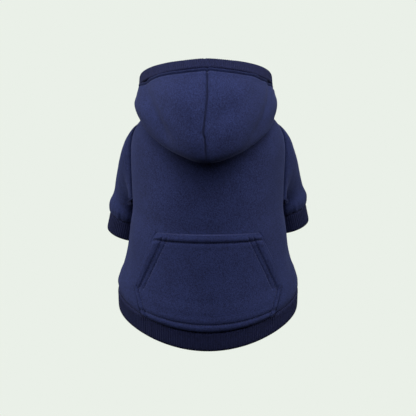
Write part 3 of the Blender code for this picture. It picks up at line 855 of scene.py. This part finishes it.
def hood_rim(rib_knit):
    """The ribbed edge of the hood, which goes on from the hood's cloth. Its ends meet at the throat."""
    around = np.linspace(180, -180, 1121)
    lines = hood_lines(around, np.array([0.94, 1.0]))
    seam = lines[:, -1].copy()
    seam[0, 0], seam[-1, 0] = SEAM_GAP, -SEAM_GAP
    up = unit(seam - lines[:, -2])
    up = unit(mix(up, np.array([0.0, 0.0, 1.0]), RIM_STAND * np.sin(np.radians(around))[:, None] ** 2))
    run = np.gradient(seam, axis=0)
    out = unit(np.cross(up, run))
    start = seam - up * RIM_TUCK + out * RIB_CLOTH / 2
    height = RIM_HEIGHT + RIM_TUCK
    knit_band("hood_rim_knit", start, up, out, height, RIM_RIB, False, rib_knit, "hood_rim", joint=True)


def pocket(fleece):
    """The pouch on the back: its mouths slant down the sides, and its foot follows the hem seam."""
    shares = np.linspace(0, 1, 130)
    widths = np.interp(shares, [0, POCKET_MOUTH_SHARE, 1], [POCKET_TOP_WIDTH, POCKET_WIDTH, POCKET_FOOT_WIDTH])
    top = float(body_height(0, 1)) + POCKET_HEIGHT
    share_out = np.linspace(-1, 1, 250)
    across = np.sign(share_out) * (1 - (1 - np.abs(share_out)) ** 1.35)
    rows = []
    for share, width in zip(shares, widths):
        around = around_at_distance(across * width / 2, mix(0.6, 1.0, share))
        height = mix(top, body_height(around, 1) + 2 * SEAM_GAP, share)
        gape = POCKET_MOUTH_GAPE * np.abs(across) ** 6 * math.sin(math.pi * min(1, share / POCKET_MOUTH_SHARE))
        rows.append(body_point(around, along_at_height(around, height), POCKET_LIFT + CLOTH + gape))
    rows = np.array(rows)
    down = walked(rows, 0)
    up = down[-1:] - down
    off_middle = across[None, :] * (widths[:, None] / 2)
    mouth_slope = (POCKET_WIDTH - POCKET_TOP_WIDTH) / 2 / (POCKET_MOUTH_SHARE * POCKET_HEIGHT)
    foot_slope = (POCKET_WIDTH - POCKET_FOOT_WIDTH) / 2 / ((1 - POCKET_MOUTH_SHARE) * POCKET_HEIGHT)
    mouth_half = mix(POCKET_TOP_WIDTH, POCKET_WIDTH, shares[:, None] / POCKET_MOUTH_SHARE) / 2
    from_mouth = (mouth_half - np.abs(off_middle)) / math.hypot(1, mouth_slope)
    side_half = mix(POCKET_WIDTH, POCKET_FOOT_WIDTH, (shares[:, None] - POCKET_MOUTH_SHARE) / (1 - POCKET_MOUTH_SHARE)) / 2
    from_side = (side_half - np.abs(off_middle)) / math.hypot(1, foot_slope)
    in_mouth = np.clip((up - 22 * MM) / (4 * MM), 0, 1)
    relief = np.zeros_like(down)
    mouth_on = np.clip((POCKET_MOUTH_SHARE + 0.05 - shares[:, None]) / 0.06, 0, 1) * np.clip((down - 1.5 * MM) / (3 * MM), 0, 1)
    for distance in MOUTH_STITCHES:
        relief += -0.9 * MM * bump(from_mouth - distance, 0.8 * MM) * mouth_on
    relief += 0.75 * MM * bump(from_mouth - 4.2 * MM, 3.0 * MM) * mouth_on
    relief += 0.25 * MM * bump(from_mouth - 10.3 * MM, 1.2 * MM) * mouth_on
    inside_mouth = np.clip((from_mouth - 0.5 * MM) / (2 * MM), 0, 1)
    relief += -1.35 * MM * bump(down - POCKET_TOP_STITCH, 1.0 * MM) * inside_mouth
    relief += 0.85 * MM * bump(down - POCKET_TOP_STITCH / 2, 2.4 * MM)
    relief += 0.35 * MM * bump(down - POCKET_TOP_STITCH - 4 * MM, 2.8 * MM)
    relief += -0.95 * MM * bump(up - POCKET_FOOT_STITCH, 0.9 * MM) + 0.55 * MM * bump(up - POCKET_FOOT_STITCH / 2, 2.2 * MM)
    relief += 0.4 * MM * bump(up - POCKET_FOOT_STITCH - 4 * MM, 3 * MM) - 0.8 * MM * bump(up, 1.2 * MM)
    side_on = np.clip((shares[:, None] - POCKET_MOUTH_SHARE + 0.04) / 0.06, 0, 1)
    relief += side_on * 0.6 * MM * bump(from_side - 2.6 * MM, 1.8 * MM)
    relief -= side_on * 1.15 * MM * bump(from_side - POCKET_SIDE_STITCH, 0.8 * MM)
    relief += 0.35 * MM * unevenness(off_middle, down, 24 * MM) * np.clip(from_mouth / 0.02, 0, 1)
    top_fold = np.clip((POCKET_TOP_STITCH - down) / (1.5 * MM) + 0.5, 0, 1)
    mouth_fold = np.clip((MOUTH_STITCHES[0] - from_mouth) / (2 * MM) + 0.5, 0, 1) * mouth_on
    folded = np.maximum(top_fold * 1.3 * MM, mouth_fold * 1.4 * MM)
    rows = rows + faces_out(rows, False) * (relief + folded)[..., None]
    piece = sew_cloth("pocket_cloth", rows, CLOTH + folded, fleece)
    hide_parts("pocket")
    out = faces_out(rows, False)
    lines = []

    def line_where(values, wanted, picked_rows, side):
        points, ups = [], []
        for i in picked_rows:
            half = range(len(across) // 2, len(across)) if side > 0 else range(len(across) // 2)
            j = min(half, key=lambda k: abs(values[i, k] - wanted))
            points.append(rows[i, j])
            ups.append(out[i, j])
        return np.array(points), np.array(ups)

    last_mouth_row = int(POCKET_MOUTH_SHARE * len(shares))
    for side in (-1, 1):
        for distance in MOUTH_STITCHES:
            lines.append(line_where(from_mouth, distance, range(4, last_mouth_row + 4, 3), side))
        lines.append(line_where(from_side, POCKET_SIDE_STITCH, range(last_mouth_row + 2, len(shares) - 6, 3), side))
    for wanted, measure in ((POCKET_TOP_STITCH, down), (POCKET_FOOT_STITCH, up)):
        picked = [int(np.argmin(np.abs(measure[:, j] - wanted))) for j in range(4, len(across) - 4)]
        columns = range(4, len(across) - 4)
        lines.append((np.array([rows[i, j] for i, j in zip(picked, columns)]), np.array([out[i, j] for i, j in zip(picked, columns)])))
    return lines


def linear(hex_colour):
    """An sRGB colour, written as on a colour chart, as the light values that the shader wants."""
    values = [int(hex_colour[i : i + 2], 16) / 255 for i in (1, 3, 5)]
    return (*(v / 12.92 if v <= 0.04045 else ((v + 0.055) / 1.055) ** 2.4 for v in values), 1.0)


def add(tree, kind, settings, links):
    """One node with its settings, and what its inputs are linked from."""
    node = tree.nodes.new(kind)
    for key, value in settings.items():
        if isinstance(key, int) or key in node.inputs:
            node.inputs[key].default_value = value
        else:
            setattr(node, key, value)
    for key, source in links.items():
        tree.links.new(source, node.inputs[key])
    return node


def new_material(name):
    made = bpy.data.materials.new(name)
    made.use_nodes = True
    return made, made.node_tree, made.node_tree.nodes["Principled BSDF"]


def brushed_cotton_fleece():
    """Cotton-polyester sweatshirt fleece, piece-dyed navy and brushed: matt, with a pale bloom of fibre ends
    where it turns away, and a fine mottle where the pile lies one way or the other."""
    made, tree, shader = new_material("brushed_cotton_fleece")
    place = add(tree, "ShaderNodeTexCoord", {}, {}).outputs["Object"]
    pile = add(tree, "ShaderNodeTexNoise", {"Scale": 1000.0, "Detail": 3.0, "Roughness": 0.6}, {"Vector": place})
    tufts = add(tree, "ShaderNodeTexNoise", {"Scale": 520.0, "Detail": 2.0, "Roughness": 0.6}, {"Vector": place})
    lay = add(tree, "ShaderNodeTexNoise", {"Scale": 45.0, "Detail": 1.0, "Roughness": 0.5}, {"Vector": place})
    broad = add(tree, "ShaderNodeMath", {"operation": "MULTIPLY", 1: 0.10}, {0: lay.outputs["Fac"]})
    clumps = add(tree, "ShaderNodeMath", {"operation": "MULTIPLY_ADD", 1: 0.25}, {0: tufts.outputs["Fac"], 2: broad.outputs[0]})
    both = add(tree, "ShaderNodeMath", {"operation": "MULTIPLY_ADD", 1: 0.65}, {0: pile.outputs["Fac"], 2: clumps.outputs[0]})
    colour = add(tree, "ShaderNodeValToRGB", {}, {"Fac": both.outputs[0]})
    colour.color_ramp.elements[0].position = 0.38
    colour.color_ramp.elements[0].color = linear("#151933")
    colour.color_ramp.elements[1].position = 0.63
    colour.color_ramp.elements[1].color = linear("#252D54")
    tree.links.new(colour.outputs["Color"], shader.inputs["Base Color"])
    fuzz = add(tree, "ShaderNodeBump", {"Strength": 0.55, "Distance": 0.0005}, {"Height": both.outputs[0]})
    tree.links.new(fuzz.outputs["Normal"], shader.inputs["Normal"])
    shader.inputs["Roughness"].default_value = 0.95
    shader.inputs["Specular IOR Level"].default_value = 0.12
    shader.inputs["Sheen Weight"].default_value = 0.07
    shader.inputs["Sheen Roughness"].default_value = 0.38
    shader.inputs["Sheen Tint"].default_value = linear("#8D9AD8")
    return made


def cotton_rib_knit():
    """Two-by-two cotton rib with elastane, dyed to match: flatter and darker than the fleece, with hardly any
    bloom, since its yarns lie smooth."""
    made, tree, shader = new_material("cotton_rib_knit")
    place = add(tree, "ShaderNodeTexCoord", {}, {}).outputs["Object"]
    yarn = add(tree, "ShaderNodeTexNoise", {"Scale": 900.0, "Detail": 2.0, "Roughness": 0.6}, {"Vector": place})
    colour = add(tree, "ShaderNodeValToRGB", {}, {"Fac": yarn.outputs["Fac"]})
    colour.color_ramp.elements[0].position = 0.35
    colour.color_ramp.elements[0].color = linear("#0F122A")
    colour.color_ramp.elements[1].position = 0.70
    colour.color_ramp.elements[1].color = linear("#191E40")
    tree.links.new(colour.outputs["Color"], shader.inputs["Base Color"])
    relief = add(tree, "ShaderNodeBump", {"Strength": 0.4, "Distance": 0.0003}, {"Height": yarn.outputs["Fac"]})
    tree.links.new(relief.outputs["Normal"], shader.inputs["Normal"])
    shader.inputs["Roughness"].default_value = 0.90
    shader.inputs["Specular IOR Level"].default_value = 0.15
    shader.inputs["Sheen Weight"].default_value = 0.03
    shader.inputs["Sheen Roughness"].default_value = 0.35
    shader.inputs["Sheen Tint"].default_value = linear("#8D9AD8")
    return made


def spun_polyester_thread():
    """Spun polyester sewing thread in the same navy: smoother than the cloth, so it catches a little light."""
    made, tree, shader = new_material("spun_polyester_thread")
    place = add(tree, "ShaderNodeTexCoord", {}, {}).outputs["Object"]
    twist = add(tree, "ShaderNodeTexNoise", {"Scale": 1500.0, "Detail": 1.0}, {"Vector": place})
    colour = add(tree, "ShaderNodeValToRGB", {}, {"Fac": twist.outputs["Fac"]})
    colour.color_ramp.elements[0].color = linear("#171B38")
    colour.color_ramp.elements[1].color = linear("#2A3058")
    tree.links.new(colour.outputs["Color"], shader.inputs["Base Color"])
    shader.inputs["Roughness"].default_value = 0.6
    shader.inputs["Specular IOR Level"].default_value = 0.3
    return made


def seamless_paper():
    """Pale studio paper, lit so evenly that it shows one tone."""
    made, tree, shader = new_material("seamless_paper")
    shader.inputs["Base Color"].default_value = (0.0, 0.0, 0.0, 1.0)
    shader.inputs["Specular IOR Level"].default_value = 0.0
    shader.inputs["Roughness"].default_value = 1.0
    shader.inputs["Emission Color"].default_value = linear(PAPER)
    tree.links.new(seen_or_lighting(tree), shader.inputs["Emission Strength"])
    return made


def seen_or_lighting(tree):
    """1 where the paper is seen, and its weaker glow where it lights the cloth."""
    seen = add(tree, "ShaderNodeLightPath", {}, {}).outputs["Is Camera Ray"]
    return add(tree, "ShaderNodeMath", {"operation": "MULTIPLY_ADD", 1: 1 - PAPER_GLOW, 2: PAPER_GLOW}, {0: seen}).outputs[0]


PAPER = "#EAF0E8"
PAPER_GLOW = 0.05
SOFTBOXES = (
    ("key_softbox", (0.0, -0.50, 0.46), 0.25, 2.5),
    ("front_softbox", (0.0, -0.85, 0.40), 0.60, 5.4),
    ("left_softbox", (-1.22, 0.10, 0.35), 0.80, 19.0),
    ("right_softbox", (1.22, 0.10, 0.35), 0.80, 12.5),
    ("high_left_softbox", (-0.53, -0.30, 1.05), 0.80, 3.4),
    ("high_right_softbox", (0.53, -0.30, 1.05), 0.80, 5.5),
    ("belly_softbox", (0.0, 1.30, -0.05), 0.80, 7.0),
)
SHOT_HEIGHT = 8.0
SHOT_DISTANCE = 1.2
SHOT_CENTRE = Vector((0.0, 0.0, -0.1144))
PIXEL = 1.1 * MM


def studio():
    """The camera at the photograph's angle, pale paper all round, and soft light from above the dog's back."""
    scene = bpy.context.scene
    scene.view_settings.view_transform = "Standard"
    scene.view_settings.look = "None"
    elevation = math.radians(SHOT_HEIGHT)
    lens = bpy.data.cameras.new("camera")
    lens.sensor_width = 36.0
    lens.lens = 36.0 * SHOT_DISTANCE / (416 * PIXEL)
    camera = bpy.data.objects.new("camera", lens)
    back = Vector((0.0, -math.cos(elevation), math.sin(elevation)))
    camera.location = SHOT_CENTRE + back * SHOT_DISTANCE
    camera.rotation_euler = back.to_track_quat("Z", "Y").to_euler()
    scene.collection.objects.link(camera)
    scene.camera = camera

    world = bpy.data.worlds.new("studio")
    world.use_nodes = True
    world.node_tree.nodes["Background"].inputs["Color"].default_value = linear(PAPER)
    world.node_tree.links.new(seen_or_lighting(world.node_tree), world.node_tree.nodes["Background"].inputs["Strength"])
    scene.world = world

    floor_data = bpy.data.meshes.new("paper_floor")
    reach = 12.0
    corners = [(-reach, -reach, -0.45), (reach, -reach, -0.45), (reach, reach, -0.45), (-reach, reach, -0.45)]
    floor_data.from_pydata(corners, [], [(0, 1, 2, 3)])
    floor_data.materials.append(seamless_paper())
    floor = bpy.data.objects.new("paper_floor", floor_data)
    scene.collection.objects.link(floor)

    for name, place, size, power in SOFTBOXES:
        data = bpy.data.lights.new(name, "AREA")
        data.shape = "DISK"
        data.size = size
        data.energy = power
        light = bpy.data.objects.new(name, data)
        light.location = place
        light.rotation_euler = (Vector(place) - Vector((0, 0, -0.06))).to_track_quat("Z", "Y").to_euler()
        scene.collection.objects.link(light)


def dress():
    fleece, rib_knit, thread = brushed_cotton_fleece(), cotton_rib_knit(), spun_polyester_thread()
    back_panel(fleece)
    belly_panel(fleece)
    pocket_lines = pocket(fleece)
    hem_band(rib_knit)
    hood_rim(rib_knit)
    rim_lines = []
    for side, word in ((1, "right"), (-1, "left")):
        sleeve(side, word, fleece)
        cuff(side, word, rib_knit)
        rim_lines.append(hood_panel(side, word, fleece))
    pocket_stitches = sew_stitches("pocket_stitches", pocket_lines, thread)
    hood_stitches = sew_stitches("hood_stitches", rim_lines, thread)
    sewn_on = [(pocket_stitches, "pocket_cloth"), (hood_stitches, "hood_right_panel_cloth"), *inner_seams(thread)]


dress()
studio()
